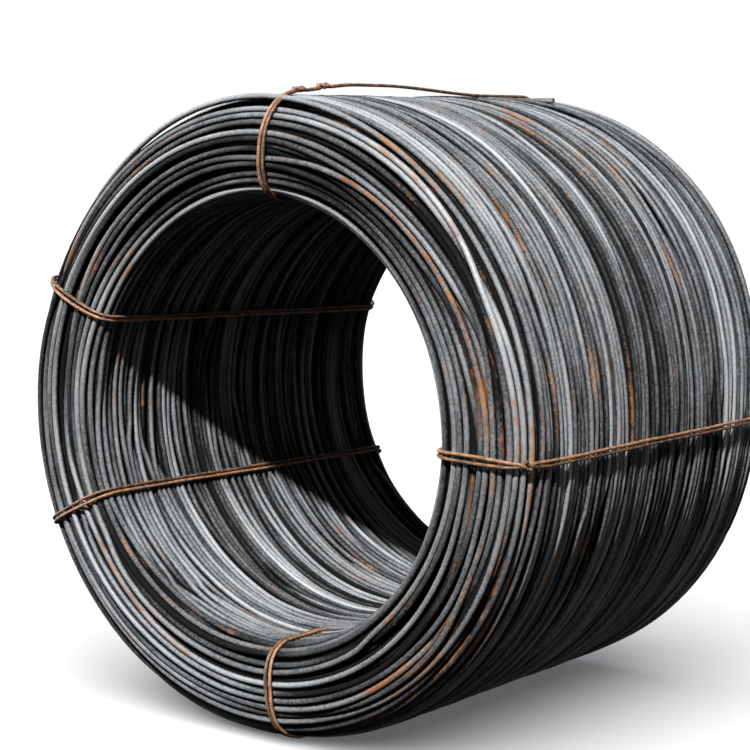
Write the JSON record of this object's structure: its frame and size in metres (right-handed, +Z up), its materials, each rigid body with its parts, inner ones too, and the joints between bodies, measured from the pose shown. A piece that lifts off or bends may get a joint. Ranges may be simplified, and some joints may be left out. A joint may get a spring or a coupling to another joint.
{
  "type": "coil of wire rod",
  "caption": "Round coil of hot-rolled steel wire rod lying on its side, with an open bore, rounded ends and doubled wire ties looped through the bore and round the outside.",
  "frame": {"origin": "middle of the bore, on the coil's axis", "axes": "+Y along the bore axis towards the far end, +Z up with the coil lying on its side, +X to the right seen from the near end"},
  "size_m": [1.2613, 0.9594, 1.2776],
  "materials": {
    "rod_steel": "mill scale with streaks of rust",
    "tie_wire": "rusted"
  },
  "bodies": {
    "root": {"rod_coil": "rod_steel", "tie_top": "tie_wire", "tie_upper_left": "tie_wire", "tie_lower_left": "tie_wire", "tie_bottom": "tie_wire", "tie_right": "tie_wire"}
  },
  "joints": []
}
